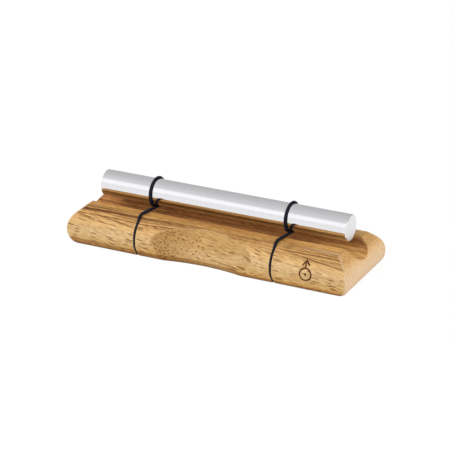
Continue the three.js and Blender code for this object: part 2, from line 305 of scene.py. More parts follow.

# Ground tones by layer, in millimetres from the front's foot. The browns at the foot (0) and in the groove
# (44-54), darkest on its rear wall under the rod (51.2-53.5), are partly painted shade
LAYER_AND_SHADE_TONES = [
    (0, "b07c3e"), (2, "bf8e4c"), (3.5, "cfa565"), (6, "d6af75"), (9.5, "dcb682"), (13, "d3aa70"),
    (19, "c2955c"), (22.5, "ba8d54"), (24, "aa7d49"), (25, "a67a46"), (26.5, "b2854b"),
    (29, "be8b48"), (32, "c28b4a"), (40, "c08446"), (44, "ae7541"), (47, "b27843"), (49, "be8047"),
    (51.2, "9c6838"), (53.5, "8c5b31"), (58, "c8995a"), (66, "d3aa70"), (73, "dcb682"),
]

# How strong the dark lines and the vessels are, and how far the brown of heartwood and painted
# shade fades, by layer too
LINES_BY_LAYER = [
    (0, 0.5), (2.5, 0.12), (15, 0.12), (21, 0.8), (26.5, 1), (29, 0.35), (34, 0.4), (37, 0.6),
    (47, 0.6), (51, 0.3),
]
VESSELS_BY_LAYER = [(19, 1), (26, 0.35), (54, 0.35), (60, 1)]
FADE_BY_LAYER = [(27, 0), (29.5, 0.7), (37, 1), (44, 1), (50, 0)]

# How strong the dark lines are along the base, in millimetres from its left end
LINES_BY_LENGTH = [(14, 1), (54, 1), (82, 0.85), (109, 0.7), (132, 1)]


def places_in_wood(tree):
    """Where a point lies in the wood: on the board, along and across its fibres, and in its layers.

    The cut tells how squarely the surface cuts across the grain, and scooped how far it is the scoop's.
    """
    place = add(tree, "TexCoord")["Object"]
    board = add(tree, "Mapping", {"Vector": place, "Scale": (1 / MM,) * 3})[0]
    along = add(tree, "SeparateXYZ", {0: board})[0]

    # Fibres follow the grain, wander to the side and swirl beside the scoop
    grain = add(tree, "Mapping", {"Vector": board, "Rotation": (0, GRAIN_PITCH, GRAIN_TURN)})[0]
    slow = add(tree, "Mapping", {"Vector": board, "Location": SWAY_PLACE, "Scale": 1 / SWAY_SIZE})[0]
    sway = add(tree, "TexNoise", {"Vector": slow, "Scale": 1, "Detail": 1})["Color"]
    fibre = add(
        tree,
        "VectorMath",
        {0: sway, 1: (0, FIBRE_SWAY, FIBRE_SWAY), 2: grain},
        operation="MULTIPLY_ADD",
    )[0]
    fibre_parts = add(tree, "SeparateXYZ", {0: fibre})
    aside = fibre_parts[1]
    for middle, reach, lift in GRAIN_SWIRLS:
        from_middle = add(
            tree, "Math", {0: along, 1: 1 / reach, 2: -middle / reach}, operation="MULTIPLY_ADD"
        )[0]
        swirl = add(tree, "Math", {0: from_middle}, operation="TANH")[0]
        aside = add(tree, "Math", {0: swirl, 1: lift, 2: aside}, operation="MULTIPLY_ADD")[0]
    across = add(tree, "CombineXYZ", {0: aside, 1: fibre_parts[2]})[0]

    # Layers lie across the board at a slope, and wander too
    rise = add(tree, "VectorMath", {0: board, 1: (0, LAYER_SLOPE, 1)}, operation="DOT_PRODUCT")["Value"]
    drift = add(tree, "SeparateColor", {0: sway})[0]
    wander = add(
        tree,
        "Math",
        {0: drift, 1: LAYER_SWAY, 2: LAYER_SLOPE * half_width - LAYER_SWAY / 2},
        operation="MULTIPLY_ADD",
    )[0]
    layer = add(tree, "Math", {0: rise, 1: wander}, operation="ADD")[0]
    layer_share = add(tree, "Math", {0: layer, 1: LAYER_SPAN}, operation="DIVIDE")[0]

    facing = add(tree, "NewGeometry")["Normal"]
    slant = add(tree, "VectorMath", {0: facing, 1: GRAIN_WAY}, operation="DOT_PRODUCT")["Value"]
    cut = add(tree, "Math", {0: slant}, operation="ABSOLUTE")[0]
    scooped = add(tree, "Attribute", attribute_name="scooped")["Fac"]
    return SimpleNamespace(
        board=board, along=along, fibre=fibre, across=across,
        layer=layer, layer_share=layer_share, cut=cut, scooped=scooped,
    )


def layer_colour(tree, wood):
    """The wood's colour by layer, with thin dark lines, and brown in groove and land that runs out to the
    right: partly heartwood, partly painted shade of the rod.
    """
    ground = add(tree, "ValToRGB", {0: wood.layer_share}, stops=tone_stops(LAYER_AND_SHADE_TONES, LAYER_SPAN))[0]
    # The painted shade of the rod and the heartwood over groove and land fade to golden at the right end
    rightness = add(
        tree,
        "MapRange",
        {"Value": wood.along, "From Min": HEART_SHADE_FADE, "From Max": HEART_SHADE_END},
        interpolation_type="SMOOTHSTEP",
    )[0]
    fading = add(tree, "ValToRGB", {0: wood.layer_share}, stops=grey_stops(FADE_BY_LAYER, LAYER_SPAN))[0]
    heart_shade_lifted = add(tree, "Math", {0: rightness, 1: fading}, operation="MULTIPLY")[0]
    faded = add(
        tree, "Mix", {0: heart_shade_lifted, MIX_A: ground, MIX_B: linear("d8a45e")}, data_type="RGBA"
    )[MIX_OUT]

    # Dark lines of heartwood along the base
    thin = add(tree, "CombineXYZ", {0: wood.along, 1: wood.layer})[0]
    lines = add(tree, "Mapping", {"Vector": thin, "Location": STREAK_PLACE, "Scale": 1 / STREAK_SIZE})[0]
    streak = add(
        tree, "TexNoise", {"Vector": lines, "Scale": 1, "Detail": 2}, noise_dimensions="2D"
    )["Fac"]
    dark = add(tree, "MapRange", {"Value": streak, "From Min": 0.47, "From Max": 0.6})[0]
    by_layer = add(
        tree, "ValToRGB", {0: wood.layer_share}, stops=grey_stops(LINES_BY_LAYER, LAYER_SPAN)
    )[0]
    length_share = add(
        tree, "MapRange", {"Value": wood.along, "From Min": -half_length, "From Max": half_length}
    )[0]
    by_length = add(
        tree, "ValToRGB", {0: length_share}, stops=grey_stops(LINES_BY_LENGTH, 2 * half_length)
    )[0]
    strong = add(tree, "Math", {0: dark, 1: by_length}, operation="MULTIPLY")[0]
    streaks = add(tree, "Math", {0: strong, 1: by_layer}, operation="MULTIPLY")[0]
    streaked = add(
        tree, "Mix", {0: streaks, MIX_A: faded, MIX_B: linear("5c371b")}, data_type="RGBA"
    )[MIX_OUT]

    # The scoop is cut through the thin brown layer at the top of the front, into golden wood
    topmost = add(
        tree,
        "MapRange",
        {
            "Value": wood.layer,
            "From Min": SCOOP_GOLD_LOW,
            "From Max": SCOOP_GOLD_HIGH,
            "To Max": SCOOP_GOLD_SHARE,
        },
    )[0]
    cut_through = add(tree, "Math", {0: wood.scooped, 1: topmost}, operation="MULTIPLY")[0]
    return add(
        tree, "Mix", {0: cut_through, MIX_A: streaked, MIX_B: linear("d2a86b")}, data_type="RGBA"
    )[MIX_OUT]


def cut_colour(tree, wood, layered, fibres):
    """Fibres on the layers' colour, and other tones where the surface cuts across the grain.

    Cut wood is darker at a slant, partly from the grain and partly as painted shade for the sheen
    that such faces lack, and pale with a fine stipple where it is sawn square. Along the underside
    runs a darker brown band with a dark line on top, thinner towards the right: partly the wood,
    partly painted shade where the foot turns under.
    """
    shades = add(tree, "ValToRGB", {0: fibres}, stops=tone_stops([(0.25, "747474"), (0.75, "fafafa")]))[0]
    fibred = add(
        tree, "Mix", {0: SHADING, MIX_A: layered, MIX_B: shades}, data_type="RGBA", blend_type="SOFT_LIGHT"
    )[MIX_OUT]
    # Darker tone at a slant: partly grain, partly painted shade for the missing sheen
    cut_and_shade_tone = add(
        tree,
        "ValToRGB",
        {0: wood.cut},
        stops=tone_stops([(0.45, "b08347"), (0.6, "d4a466"), (0.75, "e6b97f"), (1, "f4cfa2")]),
    )[0]
    cut_share = add(
        tree,
        "ValToRGB",
        {0: wood.cut},
        stops=grey_stops([(0.12, 0), (0.3, 0.65), (0.52, 0.85), (0.7, 1)]),
    )[0]
    stipple = add(
        tree, "TexNoise", {"Vector": wood.board, "Scale": 1 / STIPPLE_WIDTH, "Detail": 2}
    )["Fac"]
    specks = add(
        tree, "ValToRGB", {0: stipple}, stops=tone_stops([(0.32, "5c5c5c"), (0.68, "f4f4f4")])
    )[0]
    sawn = add(
        tree, "Mix", {0: SHADING, MIX_A: cut_and_shade_tone, MIX_B: specks}, data_type="RGBA", blend_type="SOFT_LIGHT"
    )[MIX_OUT]
    cut_wood = add(tree, "Mix", {0: cut_share, MIX_A: fibred, MIX_B: sawn}, data_type="RGBA")[MIX_OUT]
    # A darker brown band along the foot: partly the wood, partly painted shade where it turns under
    lowness = add(
        tree, "VectorMath", {0: wood.board, 1: (FOOT_BAND_SLOPE, 0, 1)}, operation="DOT_PRODUCT"
    )["Value"]
    under_share = add(tree, "Math", {0: lowness, 1: FOOT_BAND}, operation="DIVIDE")[0]
    under = add(
        tree,
        "ValToRGB",
        {0: under_share},
        stops=grey_stops([(0, 0.6), (0.7, 0.5), (0.86, 0.7), (1, 0)]),
    )[0]
    clear_of_ends = add(
        tree,
        "MapRange",
        {"Value": wood.cut, "From Min": 0.35, "From Max": 0.55, "To Min": 1, "To Max": 0},
    )[0]
    foot_band_share = add(tree, "Math", {0: under, 1: clear_of_ends}, operation="MULTIPLY")[0]
    return add(
        tree, "Mix", {0: foot_band_share, MIX_A: cut_wood, MIX_B: linear("80522a")}, data_type="RGBA"
    )[MIX_OUT]


def open_vessels(tree, wood):
    """1 in the wood's vessels: tubes along the fibres, a millimetre apart and up to 0.6 mm wide.

    That is over twice their real width, so that they show. Each is open in some stretches only.
    """
    cells = add(
        tree,
        "TexVoronoi",
        {"Vector": wood.across, "Scale": 1 / VESSEL_SPACING},
        voronoi_dimensions="2D",
    )
    chance = add(tree, "SeparateColor", {0: cells["Color"]})[0]
    radius = add(tree, "MapRange", {"Value": chance, "To Min": VESSEL_NARROW, "To Max": VESSEL_WIDE})[0]
    opening = add(
        tree,
        "MapRange",
        {"Value": wood.cut, "From Min": 0.12, "From Max": 0.3, "To Min": 0, "To Max": VESSEL_OPENING},
    )[0]
    bore = add(tree, "Math", {0: radius, 1: opening}, operation="ADD")[0]
    room = add(tree, "Math", {0: bore, 1: cells["Distance"]}, operation="SUBTRACT")[0]
    vessel = add(
        tree,
        "MapRange",
        {"Value": room, "From Min": -0.03, "From Max": 0.06},
        interpolation_type="SMOOTHSTEP",
    )[0]
    lengths = add(tree, "Mapping", {"Vector": wood.fibre, "Scale": 1 / VESSEL_RUN})[0]
    clogged = add(tree, "TexNoise", {"Vector": lengths, "Scale": 1, "Detail": 1})["Fac"]
    opened = add(tree, "MapRange", {"Value": clogged, "From Min": 0.37, "From Max": 0.47})[0]
    return add(tree, "Math", {0: vessel, 1: opened}, operation="MULTIPLY")[0]


def pored_colour(tree, wood, plain, pores):
    """Brown vessels on the plain wood: fainter in the brown layers and on sawn ends."""
    faint = add(
        tree,
        "MapRange",
        {"Value": wood.cut, "From Min": 0.35, "From Max": 0.6, "To Min": 0.85, "To Max": 0.2},
    )[0]
    clear = add(
        tree, "ValToRGB", {0: wood.layer_share}, stops=grey_stops(VESSELS_BY_LAYER, LAYER_SPAN)
    )[0]
    open_share = add(tree, "Math", {0: faint, 1: clear}, operation="MULTIPLY")[0]
    shown = add(tree, "Math", {0: pores, 1: open_share}, operation="MULTIPLY")[0]
    bores = add(
        tree, "ValToRGB", {0: wood.cut}, stops=tone_stops([(0.12, "6a3617"), (0.32, "4e2810")])
    )[0]
    return add(tree, "Mix", {0: shown, MIX_A: plain, MIX_B: bores}, data_type="RGBA")[MIX_OUT]


def oiled_acacia():
    """Acacia, sanded and oiled: golden sapwood, with brown heartwood layers that crop out along it, and
    painted shade of the rod in the groove.

    The vessels are open tubes along the grain, so they show as dashes on long grain and as dots
    where the scoop cuts across it. Sawn ends are pale, with the vessels as a fine stipple.
    """
    material, tree, shader = new_material("oiled_acacia")
    wood = places_in_wood(tree)

    # Fine fibres, drawn coarser than real ones so that they show
    fine = add(tree, "Mapping", {"Vector": wood.fibre, "Scale": 1 / FIBRE_SIZE})[0]
    fibres = add(tree, "TexNoise", {"Vector": fine, "Scale": 1, "Detail": 3})["Fac"]
    plain = cut_colour(tree, wood, layer_colour(tree, wood), fibres)
    pores = open_vessels(tree, wood)
    pored = pored_colour(tree, wood, plain, pores)

    # The scoop, rough from the drum, drinks more oil, crisp edges get their painted highlights, and the
    # sign is burnt in
    colour = add(
        tree,
        "Mix",
        {0: wood.scooped, MIX_A: pored, MIX_B: linear("f2efea")},
        data_type="RGBA",
        blend_type="MULTIPLY",
    )[MIX_OUT]
    for name, tone in (("edge_highlight", "f0d4ae"), ("burn", "593216")):
        share = add(tree, "Attribute", attribute_name=name)["Fac"]
        colour = add(tree, "Mix", {0: share, MIX_A: colour, MIX_B: linear(tone)}, data_type="RGBA")[MIX_OUT]
    tree.links.new(colour, shader.inputs["Base Color"])

    relief = add(tree, "Math", {0: pores, 1: -VESSEL_RELIEF, 2: fibres}, operation="MULTIPLY_ADD")[0]
    bump = add(tree, "Bump", {"Height": relief, "Strength": 0.2, "Distance": 0.2 * MM})[0]
    tree.links.new(bump, shader.inputs["Normal"])
    gloss = add(
        tree,
        "MapRange",
        {"Value": fibres, "From Min": 0.3, "From Max": 0.7, "To Min": 0.42, "To Max": 0.52},
    )[0]
    tree.links.new(gloss, shader.inputs["Roughness"])
    shader.inputs["IOR"].default_value = 1.45
    shader.inputs["Specular IOR Level"].default_value = 0.2
    return material


MARK_SIZE = np.array([0.5, 16.7, 16.7])  # polishing marks: along the bar, and round it
FACED_DULLNESS = 0.22  # how much rougher the ends are than the round


def polished_aluminium():
    """Aluminium bar, turned and polished: a clear mirror, a little soft, with faint marks round it."""
    material, tree, shader = new_material("polished_aluminium")
    place = add(tree, "TexCoord")["Object"]

    # Marks drawn coarser than real ones so that they show
    rings = add(tree, "Mapping", {"Vector": place, "Scale": 1 / (MARK_SIZE * MM)})[0]
    marks = add(tree, "TexNoise", {"Vector": rings, "Scale": 1, "Detail": 2})["Fac"]
    rough = add(
        tree,
        "MapRange",
        {"Value": marks, "From Min": 0.3, "From Max": 0.7, "To Min": 0.06, "To Max": 0.08},
    )[0]

    # The ends are faced on the lathe and left duller than the polished round
    facing = add(tree, "NewGeometry")["Normal"]
    lengthways = add(tree, "SeparateXYZ", {0: facing})[0]
    squarely = add(tree, "Math", {0: lengthways}, operation="ABSOLUTE")[0]
    faced = add(
        tree,
        "MapRange",
        {"Value": squarely, "From Min": 0.8, "From Max": 0.95, "To Min": 0, "To Max": FACED_DULLNESS},
    )[0]
    duller = add(tree, "Math", {0: rough, 1: faced}, operation="ADD")[0]
    tree.links.new(duller, shader.inputs["Roughness"])
    tint = add(tree, "ValToRGB", {0: marks}, stops=tone_stops([(0.3, "e3e3e5"), (0.7, "e6e6e7")]))[0]
    tree.links.new(tint, shader.inputs["Base Color"])
    shader.inputs["Metallic"].default_value = 1
    return material


FUZZ_SPACING = 0.25


def waxed_cord():
    """Waxed polyester cord, three strands laid together: navy black, with a dull sheen of fibres."""
    material, tree, shader = new_material("waxed_cord")
    place = add(tree, "TexCoord")["Object"]

    # Fibres drawn coarser than real ones so that they show
    fuzz = add(tree, "TexNoise", {"Vector": place, "Scale": 1 / (FUZZ_SPACING * MM), "Detail": 2})["Fac"]
    tint = add(tree, "ValToRGB", {0: fuzz}, stops=tone_stops([(0.3, "05070d"), (0.7, "141b2b")]))[0]
    tree.links.new(tint, shader.inputs["Base Color"])
    bump = add(tree, "Bump", {"Height": fuzz, "Strength": 0.3, "Distance": 0.08 * MM})[0]
    tree.links.new(bump, shader.inputs["Normal"])
    shader.inputs["Roughness"].default_value = 0.6
    shader.inputs["Specular IOR Level"].default_value = 0.2
    shader.inputs["Sheen Weight"].default_value = 0.03
    shader.inputs["Sheen Roughness"].default_value = 0.4
    return material


acacia = oiled_acacia()
aluminium = polished_aluminium()
black_cord = waxed_cord()


# Base

kerf_places = cord_places + KERF_SPREAD * np.array([-1, 1])
groove_half_width = math.sqrt(GROOVE_RADIUS**2 - GROOVE_RISE**2)
groove_axis_height = base_height + GROOVE_RISE
groove_lip_angle = math.acos(GROOVE_RISE / GROOVE_RADIUS) - GROOVE_LIP / GROOVE_RADIUS
lip_out = groove_half_width + GROOVE_LIP
land_edge_out = groove_half_width + LAND_WIDTH
bulge_to_land = BULGE_RADIUS - (half_width - land_edge_out)
flank_rise = base_height - BULGE_HEIGHT
flank_lean = math.atan2(flank_rise, bulge_to_land) - math.acos(
    BULGE_RADIUS / math.hypot(bulge_to_land, flank_rise)
)
flank_top = base_height - LAND_EDGE * math.cos(flank_lean)
land_edge_cut = LAND_EDGE * math.sin((math.pi / 2 - flank_lean) / 2) / 2  # from corner to soft edge
core_out = half_width - KERF_DEPTH
slope_lean = math.atan2(core_out - land_edge_out, base_height - KERF_FULL_HEIGHT)


def side_inset(height):
    """How far a side stands in from its widest line: none low down, an arc, then a straight flank."""
    above = np.maximum(height - BULGE_HEIGHT, 0)
    on_arc = np.minimum(above, BULGE_RADIUS * math.sin(flank_lean))
    arc_inset = BULGE_RADIUS - np.sqrt(BULGE_RADIUS**2 - on_arc**2)
    return arc_inset + (above - on_arc) * math.tan(flank_lean)


def quarter_round(distance, radius):
    """How far a rounded edge falls back at a distance from its tip: r - sqrt(r^2 - (r - d)^2)."""
    rest = np.clip(radius - distance, 0, radius)
    return radius - np.sqrt(radius**2 - rest**2)


def end_top(x):
    """Height of an end's upper surface at x: the side's profile, read from inset to height."""
    reach = half_length - np.abs(x)
    on_arc = np.minimum(reach, BULGE_RADIUS * (1 - math.cos(flank_lean)))
    rise = np.sqrt(BULGE_RADIUS**2 - (BULGE_RADIUS - on_arc) ** 2)
    return BULGE_HEIGHT + rise + (reach - on_arc) / math.tan(flank_lean)


def scoop_inset(x, height):
    """How far the leaning drum reaches into a side: a circle's sag along X, deeper with height."""
    sag = SCOOP_RADIUS - np.sqrt(SCOOP_RADIUS**2 - (x - SCOOP_SHIFT) ** 2)
    return SCOOP_DEPTH + height * math.tan(SCOOP_LEAN) - sag / math.cos(SCOOP_LEAN)


def distance_to_line(points, start, end):
    """Distance of points from the straight line between two points of the front."""
    along = end - start
    share = np.clip(((points - start) @ along) / (along @ along), 0, 1)
    return np.linalg.norm(points - start - share[..., None] * along, axis=-1)


def sign_burn(x, height):
    """1 on the lines of the sign and 0 off them, over X and the height."""
    points = np.stack(np.broadcast_arrays(x, height), axis=-1)
    from_middle = np.linalg.norm(points - SIGN_MIDDLE, axis=-1)
    upwards = (SIGN_TIP - SIGN_MIDDLE) / np.linalg.norm(SIGN_TIP - SIGN_MIDDLE)
    distance = np.abs(from_middle - SIGN_RING_RADIUS)
    distance = np.minimum(distance, from_middle - SIGN_DOT_RADIUS + SIGN_LINE / 2)
    for start in (SIGN_MIDDLE + SIGN_RING_RADIUS * upwards, *SIGN_BARBS):
        distance = np.minimum(distance, distance_to_line(points, start, SIGN_TIP))
    return 1 - smooth_step((0.5 - SIGN_FADE) * SIGN_LINE, (0.5 + SIGN_FADE) * SIGN_LINE, distance)


def kerf_core(height):
    """How far out a kerf's floor lies: upright low down, then a slope to the land's edge."""
    return core_out - np.maximum(height - KERF_FULL_HEIGHT, 0) * math.tan(slope_lean)


def foot_drift(y, height):
    """How far a kerf wanders along X: most at the front's foot, none higher up, less to the rear."""
    low = 1 - smooth_step(0, FOOT_DRIFT_HEIGHT, height)
    return FOOT_DRIFT * low * (half_width - y) / (2 * half_width)


def rows(stretches, count):
    """Stretches of a section, each one row or a row for each station, joined for all stations."""
    return np.concatenate([np.broadcast_to(row, (count, row.shape[-1])) for row in stretches], axis=1)


def half_section(under_radius, levels, counts):
    """Half of the base's section at each station, from the underside's middle to the groove's.

    A flat, a quarter round, the side, a soft edge, the land, a soft lip and the groove's arc. The
    side has the counted steps between the levels. Gives the reach out, the height, and the share
    of the scoop's cut that each point follows.
    """
    stations = len(under_radius)
    foot_out = half_width - under_radius
    flat = np.linspace(0, 1, FLAT_STEPS, endpoint=False)
    turn = np.linspace(-math.pi / 2, 0, ROUND_STEPS, endpoint=False)
    levels = [under_radius, *levels, flank_top]
    side = rows(
        [
            between(low, high, np.linspace(0, 1, count, endpoint=False))
            for low, high, count in zip(levels, levels[1:], counts)
        ],
        stations,
    )
    edge = np.array([land_edge_out, base_height])
    flank = LAND_EDGE * np.array([math.sin(flank_lean), -math.cos(flank_lean)])
    land_start = np.array([land_edge_out - LAND_EDGE, base_height])
    land_end = np.array([lip_out, base_height])
    lip = np.array([groove_half_width, base_height])
    angles = np.linspace(groove_lip_angle, 0, GROOVE_POINTS)
    groove_out = GROOVE_RADIUS * np.sin(angles)
    groove = np.stack([groove_out, groove_axis_height - GROOVE_RADIUS * np.cos(angles)], axis=-1)
    top = np.concatenate(
        [
            bend(edge + flank, edge, land_start, EDGE_POINTS),
            np.linspace(land_start, land_end, LAND_POINTS)[1:-1],
            bend(land_end, lip, groove[0], LIP_POINTS)[:-1],
            groove,
        ]
    )
    turned_out = foot_out + under_radius * np.cos(turn)
    out = rows([foot_out * flat, turned_out, half_width - side_inset(side), top[:, 0]], stations)
    height = rows([0 * flat, under_radius * (1 + np.sin(turn)), side, top[:, 1]], stations)
    follow = np.where(
        height > BULGE_HEIGHT,
        np.clip((out - lip_out) / (land_edge_out - lip_out), 0, 1),
        np.clip(out / foot_out, 0, 1),
    )
    return out, height, follow


def base_stations():
    """Places along X, close together where the shape changes, and whether each is inside a kerf."""
    end_heights = np.linspace(BULGE_HEIGHT, base_height + 2 * END_EDGE, END_POINTS)
    end = half_length - side_inset(end_heights)
    breaks = [-end[-1], -SCOOP_REACH, SCOOP_REACH, SIGN_LEFT, SIGN_RIGHT, end[-1]]
    stretches = zip(breaks, breaks[1:], STRETCH_POINTS)
    inner = [np.linspace(start, stop, count)[1:] for start, stop, count in stretches]
    plain = np.concatenate([-end, *inner, end[-2::-1]])
    wall = KERF_WIDTH / 2
    clear = np.abs(plain[:, None] - kerf_places) > KERF_CLEAR * wall
    plain = plain[clear.all(axis=1)]
    places = []
    inside = []
    runs = np.split(plain, np.searchsorted(plain, kerf_places))
    for run, place in zip(runs, kerf_places):
        places += [run, place + wall * np.array([-1, -1, 0, 1, 1])]
        inside += [np.zeros(len(run), bool), np.array([False, True, True, True, False])]
    places.append(runs[-1])
    inside.append(np.zeros(len(runs[-1]), bool))
    return np.concatenate(places)[:, None], np.concatenate(inside)[:, None]


def plain_section(x):
    """The uncut section at each station: reach out, height, scoop's share, side and lower radius."""
    front_radius = between(FRONT_UNDER_LEFT, FRONT_UNDER_RIGHT, (x + half_length) / (2 * half_length))
    rear_radius = np.full_like(x, REAR_UNDER_RADIUS)
    rear = half_section(rear_radius, [], REAR_STEPS)
    front = half_section(front_radius, [SIGN_LOW, SIGN_HIGH], FRONT_STEPS)
    out, height, follow = (np.concatenate([a, b[:, -2:0:-1]], axis=1) for a, b in zip(rear, front))
    rear_count = rear[0].shape[1]
    side = np.where(np.arange(out.shape[1]) < rear_count, 1, -1)
    return out, height, follow, side, np.where(side > 0, rear_radius, front_radius)


def cut_scoops(x, out, height, follow):
    """The sides pushed in by the scoops. Gives the reach out, the scoop's tone and its crease's painted
    highlight.
    """
    crisp = smooth_step(SCOOP_SOFT_END, SCOOP_CRISP_START, x)
    softness = between(SCOOP_LEFT_SOFTNESS, SCOOP_RIGHT_SOFTNESS, crisp)
    inset = side_inset(height)
    scooped = scoop_inset(x, height)
    in_scoop = follow * smooth_step(0, SCOOP_TONE_REACH, scooped - inset)
    high = smooth_step(HIGHLIGHT_CREASE_LOW, HIGHLIGHT_CREASE_HIGH, height)
    crease = HIGHLIGHT_CREASE_SHARE * (bell(scooped - inset, HIGHLIGHT_CREASE) * follow * crisp * high)
    return out - follow * (smooth_max(inset, scooped, softness) - inset), in_scoop, crease


def cut_ends(x, side, out, height, under_radius):
    """The section's height cut to the end profile, whose edges to the sides are crisp.

    Gives the reach out, the height and the painted highlight along those edges.
    """
    rear_share = np.clip(0.5 + side * out / (2 * half_width), 0, 1)
    right_radius = between(RIGHT_UNDER_FRONT, RIGHT_UNDER_REAR, rear_share)
    end_radius = np.where(x < 0, LEFT_UNDER_RADIUS, right_radius)
    height = smooth_min(height, end_top(x), END_EDGE)
    height = np.maximum(height, quarter_round(half_length - np.abs(x), end_radius))
    from_end = half_length - np.abs(x) - side_inset(height) - quarter_round(height, end_radius)
    side_out = half_width - side_inset(height) - quarter_round(height, under_radius)
    at_foot = (x > 0) * (1 - smooth_step(0, UPRIGHT_FOOT_HEIGHT, height))
    upright = between(UPRIGHT_EDGE, UPRIGHT_FOOT, at_foot)
    out = np.minimum(out, side_out - quarter_round(np.maximum(from_end, 0), upright))
    from_edge = np.hypot(from_end, side_out - out) - (math.sqrt(2) - 1) * upright
    highlight_share = between(HIGHLIGHT_FOOT_SHARE, HIGHLIGHT_TOP_SHARE, smooth_step(0, base_height, height))
    return out, height, highlight_share * bell(from_edge, HIGHLIGHT_WIDTH)


def land_edge_highlight(x, side, out, height):
    """A painted highlight: the pale line along the outer edge of the front land, near the right end."""
    from_edge = np.hypot(out - land_edge_out, height - base_height) - land_edge_cut
    near_end = smooth_step(HIGHLIGHT_LAND_START, HIGHLIGHT_LAND_FULL, x)
    return HIGHLIGHT_LAND_SHARE * near_end * (side < 0) * bell(from_edge, HIGHLIGHT_WIDTH)


def wooden_base():
    """The base as a grid: its section carried along X.

    The scoops and the end profiles cut the section, the kerfs cut it to a core, the sign sinks into
    the front, and the grid drifts along X with the kerfs and with the right end's skew.
    """
    x, in_kerf = base_stations()
    out, height, follow, side, under_radius = plain_section(x)
    out, in_scoop, crease_highlight = cut_scoops(x, out, height, follow)
    out, height, end_highlight = cut_ends(x, side, out, height, under_radius)
    # Pale lines along crisp edges: painted highlights
    edge_highlight = np.maximum(crease_highlight, end_highlight)
    edge_highlight = np.maximum(edge_highlight, land_edge_highlight(x, side, out, height))

    out = np.where(in_kerf, np.minimum(out, kerf_core(height)), out)
    height = np.where(in_kerf, np.maximum(height, KERF_DEPTH), height)
    burn = sign_burn(x, height) * (side < 0) * (out > land_edge_out)
    y = side * (out - SIGN_DEPTH * burn)
    from_cord = np.abs(x - kerf_places).min(axis=1, keepdims=True)
    with_cord = 1 - smooth_step(KERF_WIDTH / 2, FOOT_DRIFT_REACH, from_cord)
    skew = END_SKEW * smooth_step(END_SKEW_START, half_length, x) * y / half_width
    rings = np.stack([x + skew + with_cord * foot_drift(y, height), y, height], axis=-1)

    base = put_mesh("hardwood_base", rings, acacia)
    for name, values in {"burn": burn, "edge_highlight": edge_highlight, "scooped": in_scoop}.items():
        base.data.attributes.new(name, "FLOAT", "POINT").data.foreach_set("value", values.ravel())
    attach(base, "base")
    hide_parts("wooden_base")


wooden_base()


# Rod


def polished_rod():
    """The rod as a surface of revolution about X: a bevelled straight profile, turned round."""
    x = np.array([rod_low[0], rod_low[0] + ROD_CHAMFER, rod_high[0] - ROD_CHAMFER, rod_high[0]])
    radius = rod_radius - np.array([ROD_CHAMFER, 0, 0, ROD_CHAMFER])
    angle = np.linspace(0, 2 * math.pi, ROD_SIDES, endpoint=False)
    across = radius[:, None] * np.cos(angle)
    up = rod_axis_height + radius[:, None] * np.sin(angle)
    rings = np.stack(np.broadcast_arrays(x[:, None], across, up), axis=-1)
    rod = put_mesh("polished_rod", rings, aluminium)
    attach(rod, "rod")
    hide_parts("chime_rod")


polished_rod()


# Cords

cord_seat = CORD_RADIUS - PRESS
land_cord_height = base_height + cord_seat
kerf_cord_inset = KERF_RECESS + SQUEEZED_DEPTH / 2
kerf_cord_out = half_width - kerf_cord_inset
wrap_radius = rod_radius + TAUT_RADIUS - PRESS
lip_fall = rod_axis_height - land_cord_height
leave_angle = math.atan2(lip_out, lip_fall) - math.acos(wrap_radius / math.hypot(lip_out, lip_fall))
wrap_turn = 2 * math.pi + 2 * leave_angle
wrap_shift = (2 * TAUT_RADIUS + WRAP_GAP) * wrap_turn / (4 * math.pi)
slope_out = math.cos(slope_lean)
slope_up = math.sin(slope_lean)
edge_corner_out = land_edge_out + cord_seat * (slope_out - (1 - slope_up) * slope_up / slope_out)
entry_fall = (kerf_cord_out - land_edge_out - cord_seat * slope_out) / slope_up
entry_height = base_height + cord_seat * slope_up - entry_fall * slope_out
split_height = entry_height - KERF_ENTRY
edge_reach = LAND_EDGE + cord_seat * math.tan((math.pi / 2 - slope_lean) / 2)
leave_out = wrap_radius * math.sin(leave_angle)
lip_shift = wrap_shift * (edge_corner_out - lip_out) / (edge_corner_out - leave_out)


def bent_route(corners, reaches):
    """Straight lines through the corners, with a soft bend of the given reach at each inner one."""
    corners = np.array(corners)
    stretches = [corners[:1]]
    for before, corner, after, reach in zip(corners, corners[1:], corners[2:], reaches):
        start = corner + reach * (before - corner) / np.linalg.norm(before - corner)
        end = corner + reach * (after - corner) / np.linalg.norm(after - corner)
        stretches.append(bend(start, corner, end, BEND_POINTS))
    stretches.append(corners[-1:])
    return np.concatenate(stretches)


def evenly(route, step):
    """Points along a route at even steps of about the given length, both ends included."""
    length = np.concatenate([[0], np.cumsum(np.linalg.norm(np.diff(route, axis=0), axis=1))])
    places = np.linspace(0, length[-1], max(2, round(length[-1] / step) + 1))
    return np.stack([np.interp(places, length, column) for column in route.T], axis=-1)


def land_route(side, aside):
    """A cord's way up out of its kerf, over the land's edge and along the land to the lip."""
    lip = [aside - side * lip_shift, side * lip_out, land_cord_height]
    edge = [0, side * edge_corner_out, land_cord_height]
    entry = [0, side * kerf_cord_out, entry_height]
    kerf = [0, side * kerf_cord_out, split_height]
    return bent_route([kerf, entry, edge, lip], [KERF_ENTRY, edge_reach])


